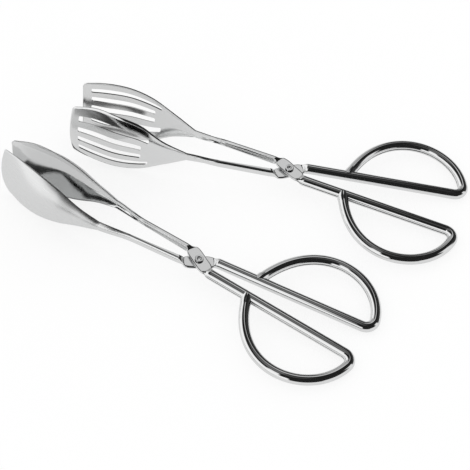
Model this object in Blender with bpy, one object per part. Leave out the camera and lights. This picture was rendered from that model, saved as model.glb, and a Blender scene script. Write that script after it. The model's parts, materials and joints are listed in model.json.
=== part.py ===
"""Salad servers: two pairs of scissor tongs in sheet steel, one with spoon heads, one with slotted heads.

Each arm is one blank. Its head is pressed to a bowl, its shank is folded to a channel, its middle is
squashed to a flat pad for the rivet, and its handle is rolled to a tube and bent to a D-shaped finger loop
whose end is welded back on the straight handle. The second arm of a pair is the same blank turned over, so
the two pads lap at the rivet.

An arm is modelled in its own frame: the pivot at the origin, +X along the handle, the head on the -X side.
"""

import math

import bpy
from mathutils import Matrix, Vector

# sheet, rolled tube and pad
SHEET = 0.0008
TUBE_RADIUS = 0.0033
SEAM_GAP = 0.0005
PAD_WIDTH = 0.0089
PAD_SLIT = 0.0002
PAD_GAP = 0.0003

# handle: straight run, tight bend at its tip, then the bow of the loop back to its foot
HANDLE_GAP = 0.00087
HANDLE_REACH = 0.1075
TIP_BEND_RADIUS = 0.0059
TIP_BEND_ANGLE = math.radians(101)
BOW_OUT = 0.0327
BOW_BACK = 0.0559
FOOT_DISTANCE = 0.0383
FOOT_ANGLE = math.radians(70)
FOOT_GAP = 0.0003
WELD_INSET = 0.0006
WELD_LENGTH = 0.003

# crossing at the rivet: flat inside the first radius, tube or channel outside the second
CROSSING_HALF_LENGTH = 0.0127
PAD_REACH = 0.0096
FULL_REACH = 0.0125
PAD_ROUND_START_SHARE = 0.5
PAD_END_WIDTH_SHARE = 0.66
PAD_MIDDLE_SHARES = (-0.2, 0.2)
PAD_INNER_STATION_SHARE = 0.6

# channel shank
SHANK_GAP = 0.0032
CHANNEL_HEIGHT = 0.0054
CHANNEL_CORNER = 0.0012
FLANGE_AT_HEAD = 0.0005
FLANGE_AT_PAD = 0.0016
CHANNEL_START = 0.044
NECK_DISTANCE = 0.067
NECK_STATION_SHARES = (0.2, 0.4, 0.6, 0.8, 1.0)
SHANK_STATION_SHARES = (0.35, 0.7)

# heads: sizes, then shares of them and bowl angles in degrees, at six even steps from the neck to the tip
SPOON_LENGTH = 0.0733
SPOON_HALF_HEIGHT = 0.0230
SPOON_NECK_OFFSET = 0.0052
SPOON_TOE_IN = 0.0107
SPOON_TIP_BOW = 0.0020
SPOON_CORNER = 0.0020
SPOON_HEIGHT_SHARES = (0.16, 0.40, 0.71, 0.91, 1.0, 0.90)
SPOON_TOE_SHARES = (0.0, 0.0, 0.12, 0.30, 0.56, 1.0)
SPOON_BOWL_ANGLES = (70, 61, 59, 50, 31, 14)
SPOON_STATION_SHARES = (0.92, 0.83, 0.73, 0.62, 0.51, 0.4, 0.3, 0.2, 0.1, 0.0)

SLOTTED_LENGTH = 0.0770
SLOTTED_HALF_HEIGHT = 0.0246
SLOTTED_NECK_OFFSET = 0.0040
SLOTTED_TOE_IN = 0.0084
SLOTTED_TIP_BOW = 0.0011
SLOTTED_CORNER = 0.0025
SLOTTED_HEIGHT_SHARES = (0.13, 0.44, 0.83, 0.98, 1.0, 0.82)
SLOTTED_TOE_SHARES = (0.1, 0.0, 0.19, 0.36, 0.75, 1.0)
SLOTTED_BOWL_ANGLES = (32, 27, 22, 21, 19, 16)
SLOTTED_RAIL_STATION_SHARES = (0.82, 0.7, 0.58, 0.47)
SLOTTED_NECK_STATION_SHARES = (0.25, 0.17, 0.09, 0.0)

# slots: edges as shares of the half arc, and ends as shares of the head's length
INNER_SLOT_SHARES = (0.092, 0.280)
OUTER_SLOT_SHARES = (0.488, 0.688)
OUTER_RAIL_SHARE = 0.84
SLOT_TIP_END_SHARE = 0.93
INNER_SLOT_START_SHARE = 0.38
OUTER_SLOT_START_SHARE = 0.32
SLOT_CORNER = 0.0010
TIP_CORNER_SHARES = (0.0, 0.12, 0.45, 1.0)
SLOT_CORNER_SHARES = (0.0, 0.35, 1.0)

# rivet
RIVET_RADIUS = 0.0020
RIVET_CLEARANCE = 0.0003
RIVET_HEAD_RADIUS = 0.0027
RIVET_HEAD_THICKNESS = 0.0008
RIVET_HEAD_EDGE = 0.00025
RIVET_CUP_RADIUS = 0.0013
RIVET_CUP_DEPTH = 0.0010
CUT_OVERRUN = 0.0010

# how the two pairs lie on the table, and how far each arm is turned from its pair's middle line
PIVOTS_APART_ALONG = 0.0253
PIVOTS_APART_ACROSS = 0.0901
SPOON_YAW = math.radians(-7.4)
SPOON_HALF_OPENING = math.radians(3.85)
SLOTTED_YAW = math.radians(7.4)
SLOTTED_HALF_OPENING = math.radians(6.1)

# counts
HALF_POINTS = 6
FOLD_STEPS = 2
CROSSING_STEPS = 6
TIP_BEND_STEPS = 5
BOW_STEPS = 15
BOW_END_SHARE = 0.97
ROUND_SIDES = 18
SETTLE_STEPS = 12

ARM_SHARP_ANGLE = math.radians(40)
RIVET_SHARP_ANGLE = math.radians(30)

STEEL = (0.74, 0.75, 0.76, 1.0)
STEEL_ROUGHNESS = 0.18
RIVET_STEEL = (0.62, 0.63, 0.64, 1.0)

# sizes that follow
HALF_SHEET = SHEET / 2
TUBE_MID_RADIUS = TUBE_RADIUS - HALF_SHEET
SEAM_HALF_ANGLE = (SEAM_GAP / 2 + HALF_SHEET) / TUBE_MID_RADIUS
TUBE_HALF_ANGLE = math.pi - SEAM_HALF_ANGLE / 2
HANDLE_OFFSET = TUBE_RADIUS + HANDLE_GAP
PAD_FOLD_RADIUS = (PAD_SLIT + SHEET) / 2
PAD_THICKNESS = 2 * SHEET + PAD_SLIT
PAD_MID_HEIGHT = (PAD_GAP + PAD_THICKNESS) / 2
RIVET_HEAD_SEAT = PAD_GAP / 2 + PAD_THICKNESS + PAD_GAP
RIVET_TOP = RIVET_HEAD_SEAT + RIVET_HEAD_THICKNESS


def smooth(share):
    """Ease from 0 to 1 with level ends."""
    share = min(max(share, 0.0), 1.0)
    return share * share * (3 - 2 * share)


def rise(share):
    """Climb from 0 to 1 that starts at a crease and ends level."""
    share = min(max(share, 0.0), 1.0)
    return share * (2 - share)


def through(values, share):
    """Value at a share of a curve through evenly spaced values."""
    last = len(values) - 1
    place = min(max(share, 0.0), 1.0) * last
    step = min(int(place), last - 1)
    t = place - step
    here = values[step]
    ahead = values[step + 1]
    slope_here = (ahead - values[step - 1]) / 2 if step > 0 else ahead - here
    slope_ahead = (values[step + 2] - here) / 2 if step + 2 <= last else ahead - here
    return ((2 * t ** 3 - 3 * t ** 2 + 1) * here + (t ** 3 - 2 * t ** 2 + t) * slope_here
            + (3 * t ** 2 - 2 * t ** 3) * ahead + (t ** 3 - t ** 2) * slope_ahead)


def mixed(first, second, shares):
    """Section points between two sections, with a share for each point."""
    found = []
    for (a0, b0), (a1, b1), m in zip(first, second, shares):
        found.append((a0 + (a1 - a0) * m, b0 + (b1 - b0) * m))
    return found


def arc_section(half_height, half_angle, point_shares):
    """Half of an arc across the blank, from its middle to its edge, with the edge at a = 0."""
    radius = half_height / math.sin(half_angle)
    edge = radius * math.cos(half_angle)
    turns = [half_angle * share for share in point_shares]
    return [(radius * math.cos(turn) - edge, radius * math.sin(turn)) for turn in turns]


def tube_section():
    """Half of the rolled tube, from the side away from the seam to the seam."""
    steps = [TUBE_HALF_ANGLE * k / HALF_POINTS for k in range(HALF_POINTS + 1)]
    return [(TUBE_MID_RADIUS * math.cos(turn), TUBE_MID_RADIUS * math.sin(turn)) for turn in steps]


def folded_section(web, corner, flange):
    """Half of a channel: web, rounded corner, flange. With no web it is a hairpin. It is centred on a = 0."""
    points = [(0.0, 0.0)]
    corner_steps = range(1, FOLD_STEPS + 1)
    if web > 0:
        points.append((0.0, web))
    for k in corner_steps:
        turn = math.pi / 2 * k / FOLD_STEPS
        points.append((corner * (math.cos(turn) - 1), web + corner * math.sin(turn)))
    left = HALF_POINTS + 1 - len(points)
    for k in range(1, left + 1):
        points.append((-corner - flange * k / left, web + corner))
    middle = (corner + flange) / 2
    return [(a + middle, b) for a, b in points]


def channel_section(flange):
    """Half of the channel, centred on its depth."""
    web = CHANNEL_HEIGHT / 2 - HALF_SHEET - CHANNEL_CORNER
    return folded_section(web, CHANNEL_CORNER, flange)


def pad_section(reach):
    """Half of the squashed pad at a distance from the rivet: two layers thick, rounded off towards its ends."""
    out = (reach / PAD_REACH - PAD_ROUND_START_SHARE) / (1 - PAD_ROUND_START_SHARE)
    out = min(max(out, 0.0), 1.0)
    width = PAD_WIDTH * (PAD_END_WIDTH_SHARE + (1 - PAD_END_WIDTH_SHARE) * math.sqrt(1 - out * out))
    return folded_section(0.0, PAD_FOLD_RADIUS, width - PAD_FOLD_RADIUS - HALF_SHEET)


class Station:
    """One section across the blank: a place and heading in plan, and the half section that stands there."""

    def __init__(self, x, y, heading, section, lift=0.0, bow=0.0, slots=None):
        self.x = x
        self.y = y
        self.heading = heading
        self.section = section
        self.lift = lift
        self.bow = bow
        self.slots = slots or []

    def across(self):
        """All points from the lower edge over the middle to the upper edge."""
        lower = [(a, -b) for a, b in reversed(self.section[1:])]
        return lower + list(self.section)

    def place(self, a, b, lift):
        """A section point in the arm's frame."""
        edge_share = b / self.section[-1][1] if self.bow else 0.0
        x = self.x - self.bow * (1 - edge_share * edge_share)
        return (x - a * math.sin(self.heading), self.y + a * math.cos(self.heading), b + lift)

    def ring(self):
        """Closed ring round the sheet: its outer side, then its inner side back."""
        points = self.across()
        lifts = self.lift if isinstance(self.lift, list) else [self.lift] * len(self.section)
        lifts = list(reversed(lifts[1:])) + list(lifts)
        outer = []
        inner = []
        for k, (a, b) in enumerate(points):
            before = Vector(points[max(k - 1, 0)])
            here = Vector((a, b))
            after = Vector(points[min(k + 1, len(points) - 1)])
            turns = []
            for start, end in ((before, here), (here, after)):
                step = end - start
                if step.length > 0:
                    step.normalize()
                    turns.append(Vector((step.y, -step.x)))
            side = turns[0] if len(turns) == 1 else (turns[0] + turns[1]) / (1 + turns[0].dot(turns[1]))
            out = here + side * HALF_SHEET
            back = here - side * HALF_SHEET
            outer.append(self.place(out.x, out.y, lifts[k]))
            inner.append(self.place(back.x, back.y, lifts[k]))
        return outer + list(reversed(inner))


class Head:
    """Sizes of one kind of head."""

    def __init__(self, length, half_height, neck_offset, toe_in, tip_bow, corner,
                 heights, toes, angles, slotted):
        self.length = length
        self.half_height = half_height
        self.neck_offset = neck_offset
        self.toe_in = toe_in
        self.tip_bow = tip_bow
        self.corner = corner
        self.heights = heights
        self.toes = toes
        self.angles = angles
        self.slotted = slotted

    def along_shares(self):
        """Stations from the tip to the neck, close together at rounded corners and slot ends."""
        shares = [1 - self.corner / self.length * s for s in TIP_CORNER_SHARES]
        if not self.slotted:
            return shares + list(SPOON_STATION_SHARES)
        corner_share = SLOT_CORNER / self.length
        shares += [SLOT_TIP_END_SHARE - corner_share * s for s in SLOT_CORNER_SHARES]
        shares += SLOTTED_RAIL_STATION_SHARES
        for start in (INNER_SLOT_START_SHARE, OUTER_SLOT_START_SHARE):
            shares += [start + corner_share * s for s in reversed(SLOT_CORNER_SHARES)]
        return shares + list(SLOTTED_NECK_STATION_SHARES)

    def point_shares(self, along):
        """Where the section's points lie on the half arc; at a slot's round ends its edges draw together."""
        if not self.slotted:
            return [k / HALF_POINTS for k in range(HALF_POINTS + 1)]
        corner_share = SLOT_CORNER / self.length
        arc = self.half_height
        places = [0.0]
        for edges, start in ((INNER_SLOT_SHARES, INNER_SLOT_START_SHARE),
                             (OUTER_SLOT_SHARES, OUTER_SLOT_START_SHARE)):
            inset = 0.0
            for gap in (SLOT_TIP_END_SHARE - along, along - start):
                near = 1 - min(max(gap / corner_share, 0.0), 1.0)
                inset = max(inset, 1 - math.sqrt(1 - near * near))
            if along > SLOT_TIP_END_SHARE or along < start:
                inset = max(0.0, 1 - max(along - SLOT_TIP_END_SHARE, start - along) / (2 * corner_share))
            draw = SLOT_CORNER / arc * inset
            places += [edges[0] + draw, edges[1] - draw]
        return places + [OUTER_RAIL_SHARE, 1.0]

    def slots_at(self, middle_share):
        """Which strips of the half section are open at a share of the length."""
        if not self.slotted:
            return []
        strips = []
        if INNER_SLOT_START_SHARE < middle_share < SLOT_TIP_END_SHARE:
            strips.append(1)
        if OUTER_SLOT_START_SHARE < middle_share < SLOT_TIP_END_SHARE:
            strips.append(3)
        return strips

    def stations(self):
        """Stations of the head, from its tip to its neck."""
        found = []
        shares = self.along_shares()
        for k, along in enumerate(shares):
            height = self.half_height * through(self.heights, along)
            from_tip = (1 - along) * self.length
            if from_tip < self.corner:
                height -= self.corner - math.sqrt(self.corner ** 2 - (self.corner - from_tip) ** 2)
            angle = math.radians(through(self.angles, along))
            rim = self.neck_offset - self.toe_in * through(self.toes, along)
            ahead = shares[k + 1] if k + 1 < len(shares) else along
            found.append(Station(-NECK_DISTANCE - self.length * along, rim, 0.0,
                                 arc_section(height, angle, self.point_shares(along)),
                                 bow=self.tip_bow * along, slots=self.slots_at((along + ahead) / 2)))
        return found


SPOON = Head(SPOON_LENGTH, SPOON_HALF_HEIGHT, SPOON_NECK_OFFSET, SPOON_TOE_IN, SPOON_TIP_BOW, SPOON_CORNER,
             SPOON_HEIGHT_SHARES, SPOON_TOE_SHARES, SPOON_BOWL_ANGLES, False)
SLOTTED = Head(SLOTTED_LENGTH, SLOTTED_HALF_HEIGHT, SLOTTED_NECK_OFFSET, SLOTTED_TOE_IN, SLOTTED_TIP_BOW,
               SLOTTED_CORNER, SLOTTED_HEIGHT_SHARES, SLOTTED_TOE_SHARES, SLOTTED_BOWL_ANGLES, True)


def shank_centre():
    """Distance of the channel's middle from the arm's own axis, where it meets the pad."""
    return SHANK_GAP + (FLANGE_AT_PAD + CHANNEL_CORNER) / 2


def shank_stations(neck):
    """Stations from the neck to the crossing: the arc of the neck folds into the channel."""
    found = []
    first_flange = channel_section(FLANGE_AT_HEAD)
    for share in NECK_STATION_SHARES:
        x = -NECK_DISTANCE + (NECK_DISTANCE - CHANNEL_START) * share
        m = smooth(share)
        y = neck.y + (shank_centre() - neck.y) * m
        section = mixed(neck.section, first_flange, [m] * len(first_flange))
        found.append(Station(x, y, 0.0, section))
    for share in SHANK_STATION_SHARES:
        x = -CHANNEL_START + (CHANNEL_START - CROSSING_HALF_LENGTH) * share
        flange = FLANGE_AT_HEAD + (FLANGE_AT_PAD - FLANGE_AT_HEAD) * share
        found.append(Station(x, shank_centre(), 0.0, channel_section(flange)))
    return found


def crossing_stations():
    """Stations over the rivet: channel to flat pad to tube, on a line that crosses from side to side."""
    found = []
    channel = channel_section(FLANGE_AT_PAD)
    tube = tube_section()
    start_y = shank_centre()
    end_y = -HANDLE_OFFSET
    inner_share = PAD_REACH / CROSSING_HALF_LENGTH * PAD_INNER_STATION_SHARE
    steps = [1 - (1 - inner_share) * k / (CROSSING_STEPS - 1) for k in range(CROSSING_STEPS)]
    shares = [-s for s in steps] + list(PAD_MIDDLE_SHARES) + list(reversed(steps))
    for share in shares:
        x = CROSSING_HALF_LENGTH * share
        half_way = (share + 1) / 2
        y = start_y + (end_y - start_y) * smooth(half_way)
        slope = (end_y - start_y) * 6 * half_way * (1 - half_way) / (2 * CROSSING_HALF_LENGTH)
        heading = math.atan(slope)
        pad = pad_section(math.hypot(x, y))
        spread = []
        for a, _ in pad:
            reach = math.hypot(x - a * math.sin(heading), y + a * math.cos(heading))
            spread.append(rise((reach - PAD_REACH) / (FULL_REACH - PAD_REACH)))
        section = mixed(pad, channel if share < 0 else tube, spread)
        lift = [PAD_MID_HEIGHT * (1 - m) for m in spread]
        found.append(Station(x, y, heading, section, lift=lift))
    return found


def handle_stations():
    """Stations of the rolled tube: straight run, bend at the tip, bow, and the foot that meets the straight run."""
    tube = tube_section()
    found = []
    for x in (FOOT_DISTANCE - 2 * TUBE_RADIUS, FOOT_DISTANCE + 2 * TUBE_RADIUS, HANDLE_REACH):
        found.append(Station(x, -HANDLE_OFFSET, 0.0, tube))
    centre_y = -HANDLE_OFFSET - TIP_BEND_RADIUS
    for k in range(1, TIP_BEND_STEPS + 1):
        turn = TIP_BEND_ANGLE * k / TIP_BEND_STEPS
        found.append(Station(HANDLE_REACH + TIP_BEND_RADIUS * math.sin(turn),
                             centre_y + TIP_BEND_RADIUS * math.cos(turn), -turn, tube))
    start = Vector((found[-1].x, found[-1].y))
    out = Vector((math.cos(TIP_BEND_ANGLE), -math.sin(TIP_BEND_ANGLE)))
    home = Vector((-math.cos(FOOT_ANGLE), math.sin(FOOT_ANGLE)))
    foot = Vector((FOOT_DISTANCE, -HANDLE_OFFSET))
    corners = (start, start + out * BOW_OUT, foot - home * BOW_BACK, foot)
    for k in range(1, BOW_STEPS + 1):
        t = BOW_END_SHARE * k / BOW_STEPS
        place = Vector((0.0, 0.0))
        run = Vector((0.0, 0.0))
        weights = ((1 - t) ** 3, 3 * (1 - t) ** 2 * t, 3 * (1 - t) * t ** 2, t ** 3)
        for weight, corner in zip(weights, corners):
            place += corner * weight
        for weight, (near, far) in zip(((1 - t) ** 2, 2 * (1 - t) * t, t ** 2), zip(corners, corners[1:])):
            run += (far - near) * weight
        if (foot - place).length < 2 * TUBE_RADIUS:
            break
        found.append(Station(place.x, place.y, math.atan2(run.y, run.x), tube))
    return found


def foot_ring(last):
    """The last ring carried on along its heading until it meets the straight tube, a hairline short of it."""
    reach = TUBE_RADIUS + FOOT_GAP
    ahead = Vector((-math.cos(FOOT_ANGLE), math.sin(FOOT_ANGLE), 0.0))
    ring = []
    for point in last.ring():
        height = min(abs(point[2]), reach)
        wall = -HANDLE_OFFSET - math.sqrt(reach * reach - height * height)
        ring.append(Vector(point) + ahead * ((wall - point[1]) / ahead.y))
    return ring


def arm_mesh(name, head):
    """The whole arm as one skin of quads laid between the rings of its stations."""
    stations = head.stations()
    stations += shank_stations(stations[-1])
    stations += crossing_stations()
    stations += handle_stations()
    rings = [station.ring() for station in stations]
    rings.append(foot_ring(stations[-1]))
    count = len(rings[0])
    half = count // 2
    points = [point for ring in rings for point in ring]
    faces = []
    open_cells = set()
    for row, station in enumerate(stations):
        for strip in station.slots:
            for cell in (HALF_POINTS + strip, HALF_POINTS - 1 - strip):
                open_cells.add((row, cell))
    for row in range(len(rings) - 1):
        low = row * count
        high = low + count
        for k in range(count):
            cell = k if k < half else count - 2 - k
            if (row, cell) in open_cells and k not in (half - 1, count - 1):
                continue
            after = (k + 1) % count
            faces.append((low + k, low + after, high + after, high + k))
    for row, cell in sorted(open_cells):
        low = row * count
        high = low + count
        back = count - 1 - cell
        if (row, cell - 1) not in open_cells:
            faces.append((low + cell, low + back, high + back, high + cell))
        if (row, cell + 1) not in open_cells:
            faces.append((low + cell + 1, high + cell + 1, high + back - 1, low + back - 1))
        if (row - 1, cell) not in open_cells:
            faces.append((low + cell, low + cell + 1, low + back - 1, low + back))
        if (row + 1, cell) not in open_cells:
            faces.append((high + cell, high + back, high + back - 1, high + cell + 1))
    last = (len(rings) - 1) * count
    for k in range(half - 1):
        back = count - 1 - k
        faces.append((k, back, back - 1, k + 1))
        faces.append((last + k, last + k + 1, last + back - 1, last + back))
    mesh = bpy.data.meshes.new(name)
    mesh.from_pydata(points, [], faces)
    mesh.validate()
    mesh.shade_smooth()
    mesh.set_sharp_from_angle(angle=ARM_SHARP_ANGLE)
    return mesh


def turned_mesh(name, profile):
    """A solid of revolution about Z, from a profile of (radius, height) points that starts and ends on the axis."""
    points = [(0.0, 0.0, profile[0][1])]
    for radius, height in profile[1:-1]:
        for k in range(ROUND_SIDES):
            turn = math.tau * k / ROUND_SIDES
            points.append((radius * math.cos(turn), radius * math.sin(turn), height))
    points.append((0.0, 0.0, profile[-1][1]))
    top = len(points) - 1
    faces = []
    rows = len(profile) - 2
    for k in range(ROUND_SIDES):
        after = (k + 1) % ROUND_SIDES
        faces.append((0, 1 + after, 1 + k))
        for row in range(rows - 1):
            low = 1 + row * ROUND_SIDES
            high = low + ROUND_SIDES
            faces.append((low + k, low + after, high + after, high + k))
        last = 1 + (rows - 1) * ROUND_SIDES
        faces.append((last + k, last + after, top))
    mesh = bpy.data.meshes.new(name)
    mesh.from_pydata(points, [], faces)
    mesh.validate()
    mesh.shade_smooth()
    mesh.set_sharp_from_angle(angle=RIVET_SHARP_ANGLE)
    return mesh


def rivet_profile():
    """Half outline of the rivet from below to above: a rim with a cup in it at each end, and the shank between."""
    rim = RIVET_HEAD_RADIUS - RIVET_HEAD_EDGE
    lip = RIVET_TOP - RIVET_HEAD_EDGE
    upper = [(RIVET_RADIUS, RIVET_HEAD_SEAT), (RIVET_HEAD_RADIUS, RIVET_HEAD_SEAT), (RIVET_HEAD_RADIUS, lip),
             (rim, RIVET_TOP), (RIVET_CUP_RADIUS + RIVET_HEAD_EDGE, RIVET_TOP), (RIVET_CUP_RADIUS, lip),
             (RIVET_CUP_RADIUS, RIVET_TOP - RIVET_CUP_DEPTH), (0.0, RIVET_TOP - RIVET_CUP_DEPTH)]
    lower = [(radius, -height) for radius, height in reversed(upper)]
    return lower + upper


def steel(name, colour, roughness):
    """A polished steel."""
    made = bpy.data.materials.new(name)
    made.use_nodes = True
    shader = made.node_tree.nodes["Principled BSDF"]
    shader.inputs["Base Color"].default_value = colour
    shader.inputs["Metallic"].default_value = 1.0
    shader.inputs["Roughness"].default_value = roughness
    made.diffuse_color = colour
    return made


def add_object(name, mesh, material, parent, turn):
    """An object at its pair's pivot, turned by a matrix in the pair's frame."""
    made = bpy.data.objects.new(name, mesh)
    if material:
        mesh.materials.append(material)
    bpy.context.collection.objects.link(made)
    made.parent = parent
    made.matrix_local = turn
    return made


def add_cutter(name, mesh, parent, turn):
    """A tool solid, kept out of the model itself."""
    made = add_object(name, mesh, None, parent, turn)
    made.hide_render = True
    made.display_type = "WIRE"
    return made


def add_boolean(target, tool, operation):
    """A Boolean of one solid with a tool solid."""
    step = target.modifiers.new(operation.lower(), "BOOLEAN")
    step.operation = operation
    step.object = tool
    step.solver = "EXACT"


def weld_turn():
    """The weld's place: on the loop's foot, along the line on which it meets the straight handle."""
    along = Vector((-math.cos(FOOT_ANGLE), math.sin(FOOT_ANGLE), 0.0))
    foot = Vector((FOOT_DISTANCE, -HANDLE_OFFSET, 0.0))
    start = foot - along * (TUBE_RADIUS + FOOT_GAP + WELD_LENGTH)
    return Matrix.Translation(start) @ along.to_track_quat("Z", "Y").to_matrix().to_4x4()


def rod_profile(radius, low, high):
    """Half outline of a plain rod."""
    return [(0.0, low), (radius, low), (radius, high), (0.0, high)]


def lowest(mesh, turn, tilt, handle_side):
    """Lowest point of one side of an arm when its pair is tilted about the pivot."""
    lean = Matrix.Rotation(tilt, 4, "Y")
    return min((lean @ (turn @ point.co)).z for point in mesh.vertices if (point.co.x > 0) == handle_side)


def resting(mesh, turn):
    """Tilt and pivot height at which an arm rests on its head's edge and on its loop."""
    tilt = 0.0
    span = HANDLE_REACH + NECK_DISTANCE
    for _ in range(SETTLE_STEPS):
        gap = lowest(mesh, turn, tilt, True) - lowest(mesh, turn, tilt, False)
        tilt += math.asin(gap / span)
    return tilt, -lowest(mesh, turn, tilt, True)


def build_pair(prefix, head, pivot, yaw, half_opening, material, rivet_material):
    """One pair of tongs: two arms and their rivet under an empty that stands at the pivot."""
    upper_mesh = arm_mesh(prefix + "_arm_upper", head)
    lower_mesh = upper_mesh.copy()
    upper_turn = Matrix.Rotation(-half_opening, 4, "Z")
    lower_turn = Matrix.Rotation(half_opening, 4, "Z") @ Matrix.Rotation(math.pi, 4, "X")
    tilt, height = resting(upper_mesh, upper_turn)
    pair = bpy.data.objects.new(prefix + "_pivot", None)
    bpy.context.collection.objects.link(pair)
    pair.matrix_world = (Matrix.Translation((pivot[0], pivot[1], height)) @ Matrix.Rotation(yaw, 4, "Z")
                         @ Matrix.Rotation(tilt, 4, "Y"))
    hole = turned_mesh(prefix + "_hole", rod_profile(RIVET_RADIUS + RIVET_CLEARANCE, -RIVET_TOP - CUT_OVERRUN,
                                                     RIVET_TOP + CUT_OVERRUN))
    weld = turned_mesh(prefix + "_weld", rod_profile(TUBE_RADIUS - WELD_INSET, 0.0,
                                                     TUBE_RADIUS + FOOT_GAP + WELD_LENGTH))
    for side, mesh, turn in (("upper", upper_mesh, upper_turn), ("lower", lower_mesh, lower_turn)):
        arm = add_object(prefix + "_arm_" + side, mesh, material, pair, turn)
        weld_tool = add_cutter(prefix + "_weld_" + side, weld, pair, turn @ weld_turn())
        hole_tool = add_cutter(prefix + "_hole_" + side, hole, pair, turn)
        add_boolean(arm, weld_tool, "UNION")
        add_boolean(arm, hole_tool, "DIFFERENCE")
    rivet = turned_mesh(prefix + "_pivot_rivet", rivet_profile())
    add_object(prefix + "_pivot_rivet", rivet, rivet_material, pair, Matrix.Identity(4))
    return pair


def centre_on_origin(pairs):
    """Move both pairs together so that the middle of their outline stands over the origin."""
    bpy.context.view_layer.update()
    corners = []
    for made in bpy.data.objects:
        if made.type == "MESH" and not made.hide_render:
            corners += [made.matrix_world @ point.co for point in made.data.vertices]
    shift = Vector((min(c.x for c in corners) + max(c.x for c in corners),
                    min(c.y for c in corners) + max(c.y for c in corners), 0.0)) / 2
    for pair in pairs:
        pair.location -= shift


def main():
    for old in list(bpy.data.objects):
        bpy.data.objects.remove(old)
    arms = steel("polished_steel", STEEL, STEEL_ROUGHNESS)
    rivets = steel("rivet_steel", RIVET_STEEL, STEEL_ROUGHNESS)
    spoon = build_pair("spoon", SPOON, (0.0, 0.0), SPOON_YAW, SPOON_HALF_OPENING, arms, rivets)
    slotted = build_pair("slotted", SLOTTED, (PIVOTS_APART_ALONG, PIVOTS_APART_ACROSS), SLOTTED_YAW,
                         SLOTTED_HALF_OPENING, arms, rivets)
    centre_on_origin((spoon, slotted))


main()
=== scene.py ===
"""Looks of the salad servers: packed arms and rivets in fine form, polished steel, studio, floor, camera."""

import json
import math

import bpy
from mathutils import Matrix, Vector


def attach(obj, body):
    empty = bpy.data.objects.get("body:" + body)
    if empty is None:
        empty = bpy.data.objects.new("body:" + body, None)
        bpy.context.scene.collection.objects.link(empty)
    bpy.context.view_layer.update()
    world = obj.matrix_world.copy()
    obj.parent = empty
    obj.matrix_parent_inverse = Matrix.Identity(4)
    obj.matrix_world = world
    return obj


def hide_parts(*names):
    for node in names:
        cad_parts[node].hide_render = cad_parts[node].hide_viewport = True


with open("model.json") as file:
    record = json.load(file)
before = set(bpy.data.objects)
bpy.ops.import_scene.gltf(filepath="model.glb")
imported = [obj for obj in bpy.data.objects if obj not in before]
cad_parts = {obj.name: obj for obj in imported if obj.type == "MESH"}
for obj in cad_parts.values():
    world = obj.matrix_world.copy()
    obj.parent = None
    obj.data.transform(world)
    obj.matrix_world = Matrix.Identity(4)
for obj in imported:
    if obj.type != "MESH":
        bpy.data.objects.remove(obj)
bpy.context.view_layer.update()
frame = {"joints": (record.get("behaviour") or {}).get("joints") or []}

MM = 0.001

# sheet, rolled tube and pad
SHEET = 0.8 * MM
TUBE_RADIUS = 3.3 * MM
SEAM_GAP = 0.5 * MM
PAD_WIDTH = 8.9 * MM
PAD_SLIT = 0.2 * MM
PAD_GAP = 0.3 * MM
RIM = 0.14 * MM
TIP_THICKNESS_SHARE = 0.6

# handle
HANDLE_GAP = 0.87 * MM
HANDLE_REACH = 107.5 * MM
TIP_BEND_RADIUS = 5.9 * MM
TIP_BEND_ANGLE = math.radians(101)
BOW_OUT = 32.7 * MM
BOW_BACK = 55.9 * MM
FOOT_DISTANCE = 38.3 * MM
FOOT_ANGLE = math.radians(70)
FOOT_FLARE = 0.5 * MM
FOOT_FLARE_LENGTH = 2.5 * MM

# crossing at the rivet
CROSSING_HALF_LENGTH = 12.7 * MM
PAD_REACH = 9.6 * MM
FULL_REACH = 12.5 * MM
PAD_ROUND_START_SHARE = 0.5
PAD_END_WIDTH_SHARE = 0.66

# channel shank
SHANK_GAP = 3.2 * MM
CHANNEL_HEIGHT = 5.4 * MM
CHANNEL_CORNER = 1.2 * MM
FLANGE_AT_HEAD = 0.5 * MM
FLANGE_AT_PAD = 1.6 * MM
CHANNEL_START = 44.0 * MM
NECK_DISTANCE = 67.0 * MM

# slots, as shares of the half arc and of the head's length
INNER_SLOT_SHARES = (0.092, 0.280)
OUTER_SLOT_SHARES = (0.488, 0.688)
SLOT_TIP_END_SHARE = 0.93
INNER_SLOT_START_SHARE = 0.38
OUTER_SLOT_START_SHARE = 0.32
SLOT_CORNER = 1.0 * MM

# how far past its ends a slot's edges stay drawn together, in corners
SLOT_DRAW_CORNERS = 3

# each slot's strip of the half section, its edges and its start
SLOTS = ((1, INNER_SLOT_SHARES, INNER_SLOT_START_SHARE), (3, OUTER_SLOT_SHARES, OUTER_SLOT_START_SHARE))

# rivet
RIVET_RADIUS = 2.0 * MM
RIVET_HEAD_RADIUS = 2.7 * MM
RIVET_HEAD_THICKNESS = 0.8 * MM
RIVET_HEAD_EDGE = 0.25 * MM
RIVET_CUP_RADIUS = 1.3 * MM
RIVET_CUP_DEPTH = 1.0 * MM

# half of each pair's opening at rest
HALF_OPENINGS = {"spoon": math.radians(3.85), "slotted": math.radians(6.1)}

# steps across the blank
PARTS = 4
STRIPS = 5
HALF_POINTS = PARTS * STRIPS
CORNER_STEPS = 6

# steps along the arm, from the tip to the foot of the loop
TIP_CORNER_STEPS = 8
SPOON_STEPS = 56
BEFORE_SLOT_STEPS = 2
SLOT_ROUND_STEPS = 5
ALONG_SLOT_STEPS = 30
BETWEEN_SLOT_STARTS_STEPS = 3
AFTER_SLOT_STEPS = 20
NECK_STEPS = 20
SHANK_STEPS = 14
CROSSING_STEPS = 72
STRAIGHT_STEPS = 30
TIP_BEND_STEPS = 20
BOW_STEPS = 90

# steps of the rivet
ROUND_SIDES = 64
RIVET_EDGE_STEPS = 5
RIVET_CUP_STEPS = 8

# angles from which an edge is shaded sharp
ARM_SHARP_ANGLE = math.radians(60)
RIVET_SHARP_ANGLE = math.radians(50)

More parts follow.
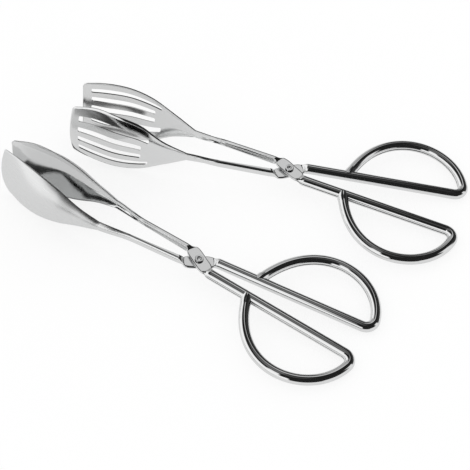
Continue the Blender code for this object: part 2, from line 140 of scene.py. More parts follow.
# steel: satin up to a distance from the tip, mirror bright from another. roughness and tone of each
SATIN_TO = 72.0 * MM
MIRROR_FROM = 104.0 * MM
OUTER_ROUGHNESS = {"spoon": 0.3, "slotted": 0.1}
HOLLOW_ROUGHNESS = 0.1
MIRROR_ROUGHNESS = 0.05
RIVET_ROUGHNESS = (0.06, 0.11)
SATIN_TONE = 0.84
MIRROR_TONE = 0.85
STEEL_TINT = (0.995, 1.0, 1.0)
RIVET_COLOUR = (0.86, 0.865, 0.865, 1.0)

# fine marks in the steel: noise cells per metre on each axis, the noise's range, and what it spreads to
DRAWN_SCALE = (90.0, 2600.0, 1.0)
GRAIN_SCALE = (1500.0, 1500.0, 1.0)
RIVET_GRAIN_SCALE = (900.0, 900.0, 900.0)
NOISE_DETAIL = 3.0
NOISE_RANGE = (0.25, 0.75)
ROUGHNESS_SPREAD = (0.8, 1.2)
TONE_SPREAD = (0.97, 1.03)
BUMP_STRENGTH = 0.02
BUMP_DISTANCE = 0.02 * MM

# floor: how much it shines back, and its own glow for the camera and for the metal
FLOOR_HALF = 3000 * MM
SUNK = 0.2 * MM
FLOOR_TONE = 0.28
FLOOR_GLOW_IN_METAL = 0.57
FLOOR_GLOW_IN_VIEW = 0.775

# painted dark reflections: zones of the floor that only the metal shows dark. limits across, limits away from
# the camera and limits of their difference, each with its soft edge. a three-cornered zone before the object
# is a painted dark reflection, and a thin one under the slotted heads is a painted contact shadow between
# them
PAINTED_DARK_REFLECTION_ZONES = (
    (((-460 * MM, 30 * MM), (-62 * MM, 12 * MM)), ((-420 * MM, 40 * MM), (-78 * MM, 14 * MM)),
     ((-26 * MM, 20 * MM), (460 * MM, 30 * MM))),
    (((-114 * MM, 5 * MM), (-68 * MM, 5 * MM)), ((54.4 * MM, 1 * MM), (58.2 * MM, 1.2 * MM)),
     ((-460 * MM, 30 * MM), (460 * MM, 30 * MM))),
)

# studio for glossy rays. a soft box has left, right, bottom and top limits, each with its soft edge, and a
# strength. angles are in degrees, with azimuth from straight away from the camera to the right. the first
# three boxes are the wide light on the left, then come three at the back, three on the right and two on top
STUDIO_DARK = 0.02
STUDIO = (
    ((-166, 5), (-24, 16), (-20, 3), (32, 4), 1.25),
    ((-152, 6), (-24, 16), (28, 4), (46, 8), 1.25),
    ((-152, 6), (-122, 10), (38, 8), (64, 6), 1.1),
    ((-40, 16), (6, 6), (-20, 3), (52, 10), 0.5),
    ((0, 6), (22, 8), (-20, 3), (50, 8), 0.08),
    ((-1, 8), (25, 8), (40, 8), (64, 8), 0.8),
    ((14, 8), (92, 8), (-20, 3), (38, 8), 0.03),
    ((84, 8), (112, 8), (-20, 3), (38, 6), 1.0),
    ((104, 8), (152, 6), (-20, 3), (9, 5), 1.0),
    ((-150, 12), (25, 12), (62, 10), (95, 1), 0.12),
    ((-181, 1), (181, 1), (73, 9), (95, 1), 0.06),
)

# camera at the photograph's angle
CAMERA_TURN = math.radians(22.03)
CAMERA_ELEVATION = math.radians(50.8)
CAMERA_DISTANCE = 900.8 * MM
CAMERA_FOCAL_PIXELS = 1414.71
CAMERA_SENSOR_WIDTH = 36.0
CAMERA_CLIP_START = 10 * MM
IMAGE_PIXELS = 470
SPOON_PIVOT_FROM_AIM = Vector((-22.2, -31.2, 0.0)) * MM

# sizes that follow
HALF_SHEET = SHEET / 2
TUBE_MID_RADIUS = TUBE_RADIUS - HALF_SHEET
TUBE_HALF_ANGLE = math.pi - (SEAM_GAP / 2 + HALF_SHEET) / TUBE_MID_RADIUS / 2
HANDLE_OFFSET = TUBE_RADIUS + HANDLE_GAP
PAD_FOLD_RADIUS = (PAD_SLIT + SHEET) / 2
PAD_THICKNESS = 2 * SHEET + PAD_SLIT
PAD_MID_HEIGHT = (PAD_GAP + PAD_THICKNESS) / 2
RIVET_HEAD_SEAT = PAD_GAP / 2 + PAD_THICKNESS + PAD_GAP
RIVET_TOP = RIVET_HEAD_SEAT + RIVET_HEAD_THICKNESS


def smooth(share):
    """Ease from 0 to 1 with level ends."""
    share = min(max(share, 0.0), 1.0)
    return share * share * (3 - 2 * share)


def smooth_slope(share):
    """Slope of smooth at a share from 0 to 1."""
    return 6 * share * (1 - share)


def rise(share):
    """Climb from 0 to 1 that starts at a crease and ends level."""
    share = min(max(share, 0.0), 1.0)
    return share * (2 - share)


def steps_between(start, end, count):
    """Even steps after start, up to and with end."""
    return [start + (end - start) * k / count for k in range(1, count + 1)]


def corner_shares(count):
    """Shares of a round corner's radius, close together where the round starts."""
    return [1 - math.cos(math.pi / 2 * k / count) for k in range(count + 1)]


def through(values, share):
    """Value at a share of a curve through evenly spaced values."""
    last = len(values) - 1
    place = min(max(share, 0.0), 1.0) * last
    step = min(int(place), last - 1)
    t = place - step
    here = values[step]
    ahead = values[step + 1]
    slope_here = (ahead - values[step - 1]) / 2 if step > 0 else ahead - here
    slope_ahead = (values[step + 2] - here) / 2 if step + 2 <= last else ahead - here
    return ((2 * t ** 3 - 3 * t ** 2 + 1) * here + (t ** 3 - 2 * t ** 2 + t) * slope_here
            + (3 * t ** 2 - 2 * t ** 3) * ahead + (t ** 3 - t ** 2) * slope_ahead)


def mixed(first, second, shares):
    """Section points between two sections, with a share for each point."""
    return [(a0 + (a1 - a0) * m, b0 + (b1 - b0) * m) for (a0, b0), (a1, b1), m in zip(first, second, shares)]


def arc_section(half_height, half_angle, point_shares):
    """Half of an arc across the blank, from its middle to its edge, with the edge at a = 0."""
    radius = half_height / math.sin(half_angle)
    edge = radius * math.cos(half_angle)
    return [(radius * math.cos(half_angle * s) - edge, radius * math.sin(half_angle * s))
            for s in point_shares]


def tube_section(grow=0.0):
    """Half of the rolled tube, from the side away from the seam to the seam."""
    radius = TUBE_MID_RADIUS + grow
    turns = [TUBE_HALF_ANGLE * k / HALF_POINTS for k in range(HALF_POINTS + 1)]
    return [(radius * math.cos(turn), radius * math.sin(turn)) for turn in turns]


def folded_section(web, corner, flange):
    """Half of a channel, centred on a = 0: web, rounded corner, flange. With no web it is a hairpin."""
    points = [(0.0, 0.0)]
    if web > 0:
        points += [(0.0, b) for b in steps_between(0.0, web, PARTS)]
    for turn in steps_between(0.0, math.pi / 2, CORNER_STEPS):
        points.append((corner * (math.cos(turn) - 1), web + corner * math.sin(turn)))
    left = HALF_POINTS + 1 - len(points)
    points += [(-corner - reach, web + corner) for reach in steps_between(0.0, flange, left)]
    middle = (corner + flange) / 2
    return [(a + middle, b) for a, b in points]


def channel_section(flange):
    """Half of the channel, centred on its depth."""
    return folded_section(CHANNEL_HEIGHT / 2 - HALF_SHEET - CHANNEL_CORNER, CHANNEL_CORNER, flange)


def pad_section(reach):
    """Half of the squashed pad at a distance from the rivet: two layers thick, narrower at its ends."""
    out = (reach / PAD_REACH - PAD_ROUND_START_SHARE) / (1 - PAD_ROUND_START_SHARE)
    out = min(max(out, 0.0), 1.0)
    width = PAD_WIDTH * (PAD_END_WIDTH_SHARE + (1 - PAD_END_WIDTH_SHARE) * math.sqrt(1 - out * out))
    return folded_section(0.0, PAD_FOLD_RADIUS, width - PAD_FOLD_RADIUS - HALF_SHEET)


class Station:
    """One section across the blank: a place and heading in plan, and the half section that stands there.

    lift raises each point of the half section, bow moves the middle on towards the tip, slots are the strips
    that are open up to the next station, and thick is a share of the sheet's thickness.
    """

    def __init__(self, x, y, heading, section, lift=None, bow=0.0, slots=(), thick=1.0):
        self.x = x
        self.y = y
        self.heading = heading
        self.section = section
        self.lift = lift or [0.0] * len(section)
        self.bow = bow
        self.slots = slots
        self.thick = thick

    def place(self, a, b, lift):
        """A section point in the arm's frame."""
        edge_share = b / self.section[-1][1] if self.bow else 0.0
        x = self.x - self.bow * (1 - edge_share * edge_share)
        return (x - a * math.sin(self.heading), self.y + a * math.cos(self.heading), b + lift)

    def ring(self):
        """Closed ring round the sheet: its outer side, then its inner side back, with its edges eased."""
        points = [(a, -b) for a, b in reversed(self.section[1:])] + list(self.section)
        lifts = list(reversed(self.lift[1:])) + list(self.lift)
        outer = []
        inner = []
        last = len(points) - 1
        for k, point in enumerate(points):
            here = Vector(point)
            turns = []
            for start, end in ((max(k - 1, 0), k), (k, min(k + 1, last))):
                step = Vector(points[end]) - Vector(points[start])
                if step.length > 0:
                    step.normalize()
                    turns.append(Vector((step.y, -step.x)))
            side = turns[0] if len(turns) == 1 else (turns[0] + turns[1]) / (1 + turns[0].dot(turns[1]))
            depth = HALF_SHEET * self.thick
            out = here + side * depth
            back = here - side * depth
            if k in (0, last):
                along = Vector((-side.y, side.x)) * (RIM if k == last else -RIM)
                eased = [out - along, out - side * RIM, back + side * RIM, back - along]
                placed = [self.place(p.x, p.y, lifts[k]) for p in eased]
                if k == 0:
                    outer += [placed[1], placed[0]]
                    inner += [placed[2], placed[3]]
                else:
                    outer += [placed[0], placed[1]]
                    inner += [placed[3], placed[2]]
            else:
                outer.append(self.place(out.x, out.y, lifts[k]))
                inner.append(self.place(back.x, back.y, lifts[k]))
        return outer + list(reversed(inner))


class Head:
    """Sizes of one kind of head, with shares at six even steps from the neck to the tip."""

    def __init__(self, length, half_height, neck_offset, toe_in, tip_bow, corner, heights, toes, angles,
                 slotted):
        self.length = length
        self.half_height = half_height
        self.neck_offset = neck_offset
        self.toe_in = toe_in
        self.tip_bow = tip_bow
        self.corner = corner
        self.heights = heights
        self.toes = toes
        self.angles = angles
        self.slotted = slotted

    def along_shares(self):
        """Stations from the tip to the neck, close together at rounded corners and slot ends."""
        shares = [1 - self.corner / self.length * s for s in corner_shares(TIP_CORNER_STEPS)]
        if not self.slotted:
            return shares + steps_between(shares[-1], 0.0, SPOON_STEPS)
        corner_share = SLOT_CORNER / self.length
        rounds = corner_shares(SLOT_ROUND_STEPS)
        shares += steps_between(shares[-1], SLOT_TIP_END_SHARE + corner_share, BEFORE_SLOT_STEPS)
        shares += [SLOT_TIP_END_SHARE - corner_share * s for s in rounds]
        shares += steps_between(shares[-1], INNER_SLOT_START_SHARE + corner_share, ALONG_SLOT_STEPS)[:-1]
        shares += [INNER_SLOT_START_SHARE + corner_share * s for s in reversed(rounds)]
        shares += steps_between(shares[-1], OUTER_SLOT_START_SHARE + corner_share,
                                BETWEEN_SLOT_STARTS_STEPS)[:-1]
        shares += [OUTER_SLOT_START_SHARE + corner_share * s for s in reversed(rounds)]
        return shares + steps_between(shares[-1], 0.0, AFTER_SLOT_STEPS)

    def point_shares(self, along):
        """Where the section's points lie on the half arc. A slot's edges draw together at its round ends."""
        if not self.slotted:
            return [k / HALF_POINTS for k in range(HALF_POINTS + 1)]
        corner_share = SLOT_CORNER / self.length
        places = [0.0]
        for _, edges, start in SLOTS:
            near = max(0.0, 1 - max(0.0, min(SLOT_TIP_END_SHARE - along, along - start)) / corner_share)
            inset = 1 - math.sqrt(1 - near * near)
            outside = max(along - SLOT_TIP_END_SHARE, start - along, 0.0)
            fade = max(0.0, 1 - outside / (SLOT_DRAW_CORNERS * corner_share))
            draw = SLOT_CORNER / self.half_height * inset * fade
            places += [edges[0] + draw, edges[1] - draw]
        places.append(1.0)
        shares = [0.0]
        for low, high in zip(places, places[1:]):
            shares += steps_between(low, high, PARTS)
        return shares

    def open_strips(self, low, high):
        """Which strips of the half section are open between two shares of the length."""
        middle = (low + high) / 2
        return [strip for strip, _, start in SLOTS if self.slotted and start < middle < SLOT_TIP_END_SHARE]

    def stations(self):
        """Stations of the head from its tip to its neck. The first is thinned, which eases the edge."""
        shares = self.along_shares()
        found = []
        for k, along in enumerate(shares):
            height = self.half_height * through(self.heights, along)
            from_tip = (1 - along) * self.length
            if from_tip < self.corner:
                height -= self.corner - math.sqrt(self.corner ** 2 - (self.corner - from_tip) ** 2)
            angle = math.radians(through(self.angles, along))
            rim = self.neck_offset - self.toe_in * through(self.toes, along)
            ahead = shares[k + 1] if k + 1 < len(shares) else along
            section = arc_section(height, angle, self.point_shares(along))
            found.append(Station(-NECK_DISTANCE - self.length * along, rim, 0.0, section,
                                 bow=self.tip_bow * along, slots=self.open_strips(along, ahead),
                                 thick=1.0 if k else TIP_THICKNESS_SHARE))
        return found


HEADS = {
    "spoon": Head(
        length=73.3 * MM, half_height=23.0 * MM, neck_offset=5.2 * MM, toe_in=10.7 * MM, tip_bow=2.0 * MM,
        corner=2.0 * MM, heights=(0.16, 0.40, 0.71, 0.91, 1.0, 0.90), toes=(0.0, 0.0, 0.12, 0.30, 0.56, 1.0),
        angles=(70, 52, 50, 46, 31, 14), slotted=False),
    "slotted": Head(
        length=77.0 * MM, half_height=24.6 * MM, neck_offset=4.0 * MM, toe_in=8.4 * MM, tip_bow=1.1 * MM,
        corner=2.5 * MM, heights=(0.13, 0.44, 0.83, 0.98, 1.0, 0.82), toes=(0.1, 0.0, 0.19, 0.36, 0.75, 1.0),
        angles=(32, 27, 22, 21, 19, 16), slotted=True),
}


def shank_centre():
    """Distance of the channel's middle from the arm's own axis, where it meets the pad."""
    return SHANK_GAP + (FLANGE_AT_PAD + CHANNEL_CORNER) / 2


def shank_stations(neck):
    """Stations from the neck to the crossing: the arc of the neck folds into the channel."""
    found = []
    first_flange = channel_section(FLANGE_AT_HEAD)
    for share in steps_between(0.0, 1.0, NECK_STEPS):
        x = -NECK_DISTANCE + (NECK_DISTANCE - CHANNEL_START) * share
        m = smooth(share)
        section = mixed(neck.section, first_flange, [m] * len(first_flange))
        found.append(Station(x, neck.y + (shank_centre() - neck.y) * m, 0.0, section))
    for share in steps_between(0.0, 1.0, SHANK_STEPS)[:-1]:
        x = -CHANNEL_START + (CHANNEL_START - CROSSING_HALF_LENGTH) * share
        flange = FLANGE_AT_HEAD + (FLANGE_AT_PAD - FLANGE_AT_HEAD) * share
        found.append(Station(x, shank_centre(), 0.0, channel_section(flange)))
    return found


def crossing_stations():
    """Stations over the rivet: channel to flat pad to tube, along a line that crosses from side to side."""
    found = []
    channel = channel_section(FLANGE_AT_PAD)
    tube = tube_section()
    start_y = shank_centre()
    end_y = -HANDLE_OFFSET
    for share in [-1.0] + steps_between(-1.0, 1.0, CROSSING_STEPS):
        x = CROSSING_HALF_LENGTH * share
        half_way = (share + 1) / 2
        y = start_y + (end_y - start_y) * smooth(half_way)
        heading = math.atan((end_y - start_y) * smooth_slope(half_way) / (2 * CROSSING_HALF_LENGTH))
        pad = pad_section(math.hypot(x, y))
        spread = []
        for a, _ in pad:
            reach = math.hypot(x - a * math.sin(heading), y + a * math.cos(heading))
            spread.append(rise((reach - PAD_REACH) / (FULL_REACH - PAD_REACH)))
        section = mixed(pad, channel if share < 0 else tube, spread)
        found.append(Station(x, y, heading, section, lift=[PAD_MID_HEIGHT * (1 - m) for m in spread]))
    return found


def handle_stations():
    """Stations of the rolled tube: straight run, bend at the tip, bow, and the foot on the straight run."""
    tube = tube_section()
    found = [Station(x, -HANDLE_OFFSET, 0.0, tube)
             for x in steps_between(CROSSING_HALF_LENGTH, HANDLE_REACH, STRAIGHT_STEPS)]
    centre_y = -HANDLE_OFFSET - TIP_BEND_RADIUS
    for turn in steps_between(0.0, TIP_BEND_ANGLE, TIP_BEND_STEPS):
        found.append(Station(HANDLE_REACH + TIP_BEND_RADIUS * math.sin(turn),
                             centre_y + TIP_BEND_RADIUS * math.cos(turn), -turn, tube))
    start = Vector((found[-1].x, found[-1].y))
    out = Vector((math.cos(TIP_BEND_ANGLE), -math.sin(TIP_BEND_ANGLE)))
    home = Vector((-math.cos(FOOT_ANGLE), math.sin(FOOT_ANGLE)))
    foot = Vector((FOOT_DISTANCE, -HANDLE_OFFSET))
    corners = (start, start + out * BOW_OUT, foot - home * BOW_BACK, foot)
    for t in steps_between(0.0, 1.0, BOW_STEPS):
        place = Vector((0.0, 0.0))
        run = Vector((0.0, 0.0))
        place_weights = ((1 - t) ** 3, 3 * (1 - t) ** 2 * t, 3 * (1 - t) * t ** 2, t ** 3)
        run_weights = ((1 - t) ** 2, 2 * (1 - t) * t, t ** 2)
        for weight, corner in zip(place_weights, corners):
            place += corner * weight
        for weight, near, far in zip(run_weights, corners, corners[1:]):
            run += (far - near) * weight
        left = (foot - place).length - TUBE_RADIUS
        if left < 0:
            break
        flare = FOOT_FLARE * max(0.0, 1 - left / FOOT_FLARE_LENGTH) ** 2
        found.append(Station(place.x, place.y, math.atan2(run.y, run.x), tube_section(flare)))
    return found


def foot_ring(last):
    """The last ring carried on along its heading until it is just inside the wall of the straight tube."""
    reach = TUBE_RADIUS - HALF_SHEET
    ahead = Vector((-math.cos(FOOT_ANGLE), math.sin(FOOT_ANGLE), 0.0))
    ring = []
    for point in last.ring():
        height = min(abs(point[2]), reach)
        wall = -HANDLE_OFFSET - math.sqrt(reach * reach - height * height)
        ring.append(Vector(point) + ahead * ((wall - point[1]) / ahead.y))
    return ring


def arm_mesh(name, head):
    """The whole arm as one skin of quads laid between the rings of its stations."""
    stations = head.stations()
    stations += shank_stations(stations[-1])
    stations += crossing_stations()
    stations += handle_stations()
    rings = [station.ring() for station in stations]
    rings.append(foot_ring(stations[-1]))
    count = len(rings[0])
    half = count // 2
    middle = HALF_POINTS + 1
    points = [point for ring in rings for point in ring]
    faces = []
    hollow_side = []
    open_cells = set()
    for row, station in enumerate(stations):
        for strip in station.slots:
            for part in range(PARTS):
                open_cells.add((row, middle + strip * PARTS + part))
                open_cells.add((row, middle - 1 - strip * PARTS - part))
    for row in range(len(rings) - 1):
        low = row * count
        high = low + count
        for k in range(count):
            cell = k if k < half else count - 2 - k
            if (row, cell) in open_cells and k not in (half - 1, count - 1):
                continue
            after = (k + 1) % count
            if k >= half:
                hollow_side.append(len(faces))
            faces.append((low + k, low + after, high + after, high + k))
    # walls of the slots
    for row, cell in sorted(open_cells):
        low = row * count
        high = low + count
        back = count - 1 - cell
        if (row, cell - 1) not in open_cells:
            faces.append((low + cell, low + back, high + back, high + cell))
        if (row, cell + 1) not in open_cells:
            faces.append((low + cell + 1, high + cell + 1, high + back - 1, low + back - 1))
        if (row - 1, cell) not in open_cells:
            faces.append((low + cell, low + cell + 1, low + back - 1, low + back))
        if (row + 1, cell) not in open_cells:
            faces.append((high + cell, high + back, high + back - 1, high + cell + 1))
    # closed ends of the skin
    last = (len(rings) - 1) * count
    for k in range(half - 1):
        back = count - 1 - k
        faces.append((k, back, back - 1, k + 1))
        faces.append((last + k, last + k + 1, last + back - 1, last + back))
    mesh = bpy.data.meshes.new(name)
    mesh.from_pydata(points, [], faces)
    for k in hollow_side:
        mesh.polygons[k].material_index = 1
    mesh.shade_smooth()
    mesh.set_sharp_from_angle(angle=ARM_SHARP_ANGLE)
    lay_out(mesh, stations, rings)
    return mesh


def lay_out(mesh, stations, rings):
    """A map of the flat blank, in metres: how far along the arm from its tip, how far round the section."""
    along = [0.0]
    for near, far in zip(stations, stations[1:]):
        along.append(along[-1] + math.hypot(far.x - near.x, far.y - near.y))
    along.append(along[-1] + TUBE_RADIUS)
    places = []
    for distance, ring in zip(along, rings):
        around = 0.0
        places.append((distance, around))
        for near, far in zip(ring, ring[1:]):
            around += (Vector(far) - Vector(near)).length
            places.append((distance, around))
    layer = mesh.uv_layers.new(name="blank")
    for loop in mesh.loops:
        layer.data[loop.index].uv = places[loop.vertex_index]


def turned_mesh(name, profile):
    """A solid of revolution about Z. Its profile of (radius, height) points starts and ends on the axis."""
    points = [(0.0, 0.0, profile[0][1])]
    for radius, height in profile[1:-1]:
        for k in range(ROUND_SIDES):
            turn = math.tau * k / ROUND_SIDES
            points.append((radius * math.cos(turn), radius * math.sin(turn), height))
    points.append((0.0, 0.0, profile[-1][1]))
    top = len(points) - 1
    rows = len(profile) - 2
    faces = []
    for k in range(ROUND_SIDES):
        after = (k + 1) % ROUND_SIDES
        faces.append((0, 1 + after, 1 + k))
        for row in range(rows - 1):
            low = 1 + row * ROUND_SIDES
            high = low + ROUND_SIDES
            faces.append((low + k, low + after, high + after, high + k))
        last = 1 + (rows - 1) * ROUND_SIDES
        faces.append((last + k, last + after, top))
    mesh = bpy.data.meshes.new(name)
    mesh.from_pydata(points, [], faces)
    mesh.validate()
    mesh.shade_smooth()
    mesh.set_sharp_from_angle(angle=RIVET_SHARP_ANGLE)
    return mesh


def rivet_profile():
    """Half outline of the rivet: a rolled rim round a dished cup at each end, and the shank between."""
    edge = RIVET_HEAD_EDGE
    level = RIVET_TOP - edge
    turns = [0.0] + steps_between(0.0, math.pi / 2, RIVET_EDGE_STEPS)
    upper = [(RIVET_RADIUS, RIVET_HEAD_SEAT), (RIVET_HEAD_RADIUS, RIVET_HEAD_SEAT)]
    for turn in turns:
        upper.append((RIVET_HEAD_RADIUS - edge + edge * math.cos(turn), level + edge * math.sin(turn)))
    for turn in turns:
        upper.append((RIVET_CUP_RADIUS + edge - edge * math.sin(turn), level + edge * math.cos(turn)))
    for turn in steps_between(0.0, math.pi / 2, RIVET_CUP_STEPS):
        upper.append((RIVET_CUP_RADIUS * math.cos(turn), level - RIVET_CUP_DEPTH * math.sin(turn)))
    lower = [(radius, -height) for radius, height in reversed(upper)]
    return lower + upper


def node_new(tree, kind, **values):
    """A shader node with its plain properties set."""
    made = tree.nodes.new(kind)
    for key, value in values.items():
        setattr(made, key, value)
    return made


def feed(tree, value, socket):
    """Give a socket its value, which is another node's output or a plain number."""
    if isinstance(value, bpy.types.NodeSocket):
        tree.links.new(value, socket)
    else:
        socket.default_value = value


def maths(tree, operation, *values):
    """Result of a maths node."""
    made = node_new(tree, "ShaderNodeMath", operation=operation)
    for value, socket in zip(values, made.inputs):
        feed(tree, value, socket)
    return made.outputs["Value"]


def product(tree, first, second):
    """Product of two values."""
    return maths(tree, "MULTIPLY", first, second)


def mapped(tree, value, start, end, low, high, kind="LINEAR"):
    """A value taken from the range of start and end to that of low and high, and held there."""
    made = node_new(tree, "ShaderNodeMapRange", interpolation_type=kind)
    for name, number in (("From Min", start), ("From Max", end), ("To Min", low), ("To Max", high)):
        made.inputs[name].default_value = number
    tree.links.new(value, made.inputs["Value"])
    return made.outputs["Result"]


def edged(tree, value, low, high):
    """1 where a value lies between two limits, each with the width of its soft edge inside them."""
    rising = mapped(tree, value, low[0], low[0] + low[1], 0.0, 1.0, "SMOOTHSTEP")
    falling = mapped(tree, value, high[0] - high[1], high[0], 1.0, 0.0, "SMOOTHSTEP")
    return product(tree, rising, falling)


def band(tree, value, low, high):
    """1 where an angle lies between two limits, which are given in degrees with their soft edges."""
    return edged(tree, value, [math.radians(part) for part in low], [math.radians(part) for part in high])


def split(tree, vector):
    """The three parts of a vector."""
    apart = node_new(tree, "ShaderNodeSeparateXYZ")
    tree.links.new(vector, apart.inputs["Vector"])
    return apart.outputs["X"], apart.outputs["Y"], apart.outputs["Z"]


def split_face_on(tree, coordinates):
    """A texture coordinate as three parts: to the right, straight away from the camera, and up."""
    place = node_new(tree, "ShaderNodeTexCoord")
    face_on = node_new(tree, "ShaderNodeVectorRotate", rotation_type="Z_AXIS")
    face_on.inputs["Angle"].default_value = -CAMERA_TURN
    tree.links.new(place.outputs[coordinates], face_on.inputs["Vector"])
    return split(tree, face_on.outputs["Vector"])


def shader_mix(tree, share, first, second):
    """Two shaders mixed by the share of the second. Without a first there is black in its place."""
    made = node_new(tree, "ShaderNodeMixShader")
    tree.links.new(share, made.inputs["Fac"])
    if first is not None:
        tree.links.new(first, made.inputs[1])
    tree.links.new(second, made.inputs[2])
    return made.outputs["Shader"]


def marks(tree, vector, scale):
    """Fine noise from 0 to 1, stretched by a scale for each axis."""
    stretch = node_new(tree, "ShaderNodeMapping")
    stretch.inputs["Scale"].default_value = scale
    tree.links.new(vector, stretch.inputs["Vector"])
    noise = node_new(tree, "ShaderNodeTexNoise")
    noise.inputs["Scale"].default_value = 1.0
    noise.inputs["Detail"].default_value = NOISE_DETAIL
    tree.links.new(stretch.outputs["Vector"], noise.inputs["Vector"])
    return noise.outputs["Fac"]


def varied(tree, noise, spread):
    """Noise spread between two values."""
    return mapped(tree, noise, *NOISE_RANGE, *spread)


def satin_to_mirror(tree, along, satin, mirror, noise, spread):
    """A value of the satin head that goes over to one of the mirror shank, varied by noise."""
    level = mapped(tree, along, SATIN_TO, MIRROR_FROM, satin, mirror, "SMOOTHSTEP")
    return product(tree, level, varied(tree, noise, spread))


def steel(name):
    """A steel with its shader, ready for its nodes."""
    made = bpy.data.materials.new(name)
    made.use_nodes = True
    shader = made.node_tree.nodes["Principled BSDF"]
    shader.inputs["Metallic"].default_value = 1.0
    return made, made.node_tree, shader


def arm_steel(name, satin_roughness):
    """Soft satin head, mirror bright shank and handle. Fine marks run along the blank."""
    made, tree, shader = steel(name)
    place = node_new(tree, "ShaderNodeUVMap", uv_map="blank").outputs["UV"]
    along = split(tree, place)[0]
    drawn = marks(tree, place, DRAWN_SCALE)
    grain = marks(tree, place, GRAIN_SCALE)
    roughness = satin_to_mirror(tree, along, satin_roughness, MIRROR_ROUGHNESS, drawn, ROUGHNESS_SPREAD)
    tree.links.new(roughness, shader.inputs["Roughness"])
    tone = satin_to_mirror(tree, along, SATIN_TONE, MIRROR_TONE, grain, TONE_SPREAD)
    colour = node_new(tree, "ShaderNodeCombineColor")
    for socket, tint in zip(("Red", "Green", "Blue"), STEEL_TINT):
        tree.links.new(maths(tree, "MULTIPLY", tone, tint), colour.inputs[socket])
    tree.links.new(colour.outputs["Color"], shader.inputs["Base Color"])
    bump = node_new(tree, "ShaderNodeBump")
    bump.inputs["Strength"].default_value = BUMP_STRENGTH
    bump.inputs["Distance"].default_value = BUMP_DISTANCE
    tree.links.new(drawn, bump.inputs["Height"])
    tree.links.new(bump.outputs["Normal"], shader.inputs["Normal"])
    return made


def rivet_steel():
    """Polished steel of the rivets, with faint marks all ways."""
    made, tree, shader = steel("rivet_steel_finish")
    shader.inputs["Base Color"].default_value = RIVET_COLOUR
    grain = marks(tree, node_new(tree, "ShaderNodeTexCoord").outputs["Object"], RIVET_GRAIN_SCALE)
    tree.links.new(varied(tree, grain, RIVET_ROUGHNESS), shader.inputs["Roughness"])
    return made


def cleared_tree(owner):
    """The node tree of a world or a material, emptied."""
    owner.use_nodes = True
    owner.node_tree.nodes.clear()
    return owner.node_tree


def studio(tree):
    """Brightness of the studio by direction: its soft boxes, one by one on top of its dark."""
    across, away, up = split_face_on(tree, "Generated")
    azimuth = maths(tree, "ARCTAN2", across, away)
    elevation = maths(tree, "ARCSINE", up)
    total = STUDIO_DARK
    for left, right, bottom, top, strength in STUDIO:
        inside = product(tree, band(tree, azimuth, left, right), band(tree, elevation, bottom, top))
        total = maths(tree, "MULTIPLY_ADD", inside, strength, total)
    return total


def share_outside_painted_dark(tree):
    """How much of the floor's light the metal shows: all of it, but none in the zones of painted dark
    reflection and painted contact shadow.
    """
    across, away, _ = split_face_on(tree, "Object")
    lean = maths(tree, "SUBTRACT", across, away)
    shares = []
    for across_limits, away_limits, lean_limits in PAINTED_DARK_REFLECTION_ZONES:
        inside = product(tree, edged(tree, across, *across_limits), edged(tree, away, *away_limits))
        inside = product(tree, inside, edged(tree, lean, *lean_limits))
        shares.append(maths(tree, "SUBTRACT", 1.0, inside))
    return product(tree, *shares)


def glowing(tree, matt, strength):
    """A matt shader with an even glow of its own."""
    glow = node_new(tree, "ShaderNodeEmission")
    feed(tree, strength, glow.inputs["Strength"])
    both = node_new(tree, "ShaderNodeAddShader")
    tree.links.new(matt, both.inputs[0])
    tree.links.new(glow.outputs["Emission"], both.inputs[1])
    return both.outputs["Shader"]


def pale_floor():
    """Matt floor that is near white for the camera, and light grey in the metal, with zones of painted dark
    reflection and painted contact shadow that only the metal shows.
    """
    made = bpy.data.materials.new("pale_floor")
    tree = cleared_tree(made)
    matt = node_new(tree, "ShaderNodeBsdfDiffuse")
    matt.inputs["Color"].default_value = (FLOOR_TONE, FLOOR_TONE, FLOOR_TONE, 1.0)
    path = node_new(tree, "ShaderNodeLightPath").outputs
    glow_in_view = maths(tree, "MULTIPLY", path["Is Camera Ray"], FLOOR_GLOW_IN_VIEW)
    in_view = glowing(tree, matt.outputs["BSDF"], glow_in_view)
    in_metal = glowing(tree, matt.outputs["BSDF"], FLOOR_GLOW_IN_METAL)
    # painted dark reflection and painted contact shadow: the metal sees the floor black in these zones
    with_painted_dark = shader_mix(tree, share_outside_painted_dark(tree), None, in_metal)
    mirrored = maths(tree, "MAXIMUM", path["Is Glossy Ray"], path["Is Transmission Ray"])
    out = node_new(tree, "ShaderNodeOutputMaterial")
    tree.links.new(shader_mix(tree, mirrored, in_view, with_painted_dark), out.inputs["Surface"])
    return made


def hinge_of(pair):
    """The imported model's hinge of a pair."""
    return next(joint for joint in frame["joints"] if joint["name"] == pair + "_hinge")


def add_piece(name, mesh, materials, matrix, node, body):
    """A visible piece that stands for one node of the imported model, with its place in its mesh."""
    for material in materials:
        mesh.materials.append(material)
    mesh.transform(matrix)
    made = bpy.data.objects.new(name, mesh)
    bpy.context.collection.objects.link(made)
    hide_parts(node)
    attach(made, body)


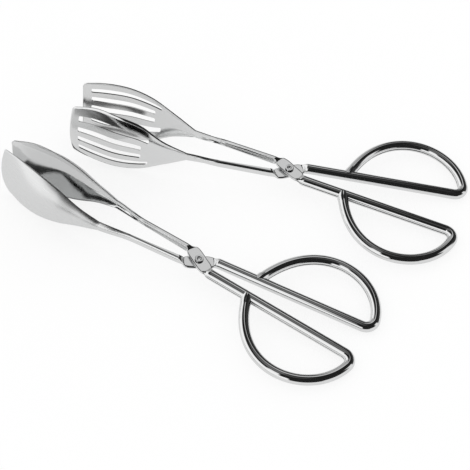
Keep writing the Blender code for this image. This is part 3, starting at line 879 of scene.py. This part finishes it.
def add_pair(pair, hollow_steel, rivet_finish):
    """A pair's two arms, one turned over, and its rivet, at their places on the hinge."""
    hinge = hinge_of(pair)
    axis = Vector(hinge["axis"]).normalized()
    tilt = math.acos(axis.z)
    yaw = math.atan2(axis.y, axis.x)
    stand = (Matrix.Translation(Vector(hinge["pos_m"])) @ Matrix.Rotation(yaw, 4, "Z")
             @ Matrix.Rotation(tilt, 4, "Y"))
    skin = arm_mesh(pair + "_arm_skin", HEADS[pair])
    lower_skin = skin.copy()
    steels = [arm_steel(pair + "_arm_steel_outer", OUTER_ROUGHNESS[pair]), hollow_steel]
    opening = HALF_OPENINGS[pair]
    add_piece(pair + "_upper_skin", skin, steels, stand @ Matrix.Rotation(-opening, 4, "Z"),
              pair + "_arm_upper", pair + "_upper")
    add_piece(pair + "_lower_skin", lower_skin, steels,
              stand @ Matrix.Rotation(opening, 4, "Z") @ Matrix.Rotation(math.pi, 4, "X"),
              pair + "_arm_lower", pair + "_lower")
    add_piece(pair + "_rivet_skin", turned_mesh(pair + "_rivet_skin", rivet_profile()), [rivet_finish], stand,
              pair + "_pivot_rivet", pair + "_lower")


def light_world():
    """Even light for matt surfaces, and the studio for glossy rays."""
    world = bpy.context.scene.world or bpy.data.worlds.new("studio")
    bpy.context.scene.world = world
    tree = cleared_tree(world)
    even = node_new(tree, "ShaderNodeBackground")
    even.inputs["Strength"].default_value = 1.0
    room = node_new(tree, "ShaderNodeBackground")
    tree.links.new(studio(tree), room.inputs["Strength"])
    glossy = node_new(tree, "ShaderNodeLightPath").outputs["Is Glossy Ray"]
    out = node_new(tree, "ShaderNodeOutputWorld")
    light = shader_mix(tree, glossy, even.outputs["Background"], room.outputs["Background"])
    tree.links.new(light, out.inputs["Surface"])


def add_floor():
    """A wide floor just below the object."""
    mesh = bpy.data.meshes.new("floor")
    corners = ((-1, -1), (1, -1), (1, 1), (-1, 1))
    mesh.from_pydata([(x * FLOOR_HALF, y * FLOOR_HALF, -SUNK) for x, y in corners], [], [(0, 1, 2, 3)])
    mesh.materials.append(pale_floor())
    floor = bpy.data.objects.new("floor", mesh)
    bpy.context.collection.objects.link(floor)


def add_camera():
    """The scene's camera, placed by the spoon pair's hinge."""
    pivot = Vector(hinge_of("spoon")["pos_m"])
    turn = Matrix.Rotation(CAMERA_TURN, 4, "Z")
    aim = Vector((pivot.x, pivot.y, 0.0)) - turn @ SPOON_PIVOT_FROM_AIM
    back = turn @ Vector((0.0, -math.cos(CAMERA_ELEVATION), math.sin(CAMERA_ELEVATION)))
    data = bpy.data.cameras.new("camera")
    data.sensor_width = CAMERA_SENSOR_WIDTH
    data.lens = CAMERA_SENSOR_WIDTH * CAMERA_FOCAL_PIXELS / IMAGE_PIXELS
    data.clip_start = CAMERA_CLIP_START
    camera = bpy.data.objects.new("camera", data)
    bpy.context.collection.objects.link(camera)
    camera.location = aim + back * CAMERA_DISTANCE
    camera.rotation_mode = "QUATERNION"
    camera.rotation_quaternion = (-back).to_track_quat("-Z", "Y")
    bpy.context.scene.camera = camera


hollow_steel = arm_steel("arm_steel_hollow", HOLLOW_ROUGHNESS)
rivet_finish = rivet_steel()
for pair in ("spoon", "slotted"):
    add_pair(pair, hollow_steel, rivet_finish)
light_world()
add_floor()
add_camera()
bpy.context.scene.view_settings.view_transform = "Standard"
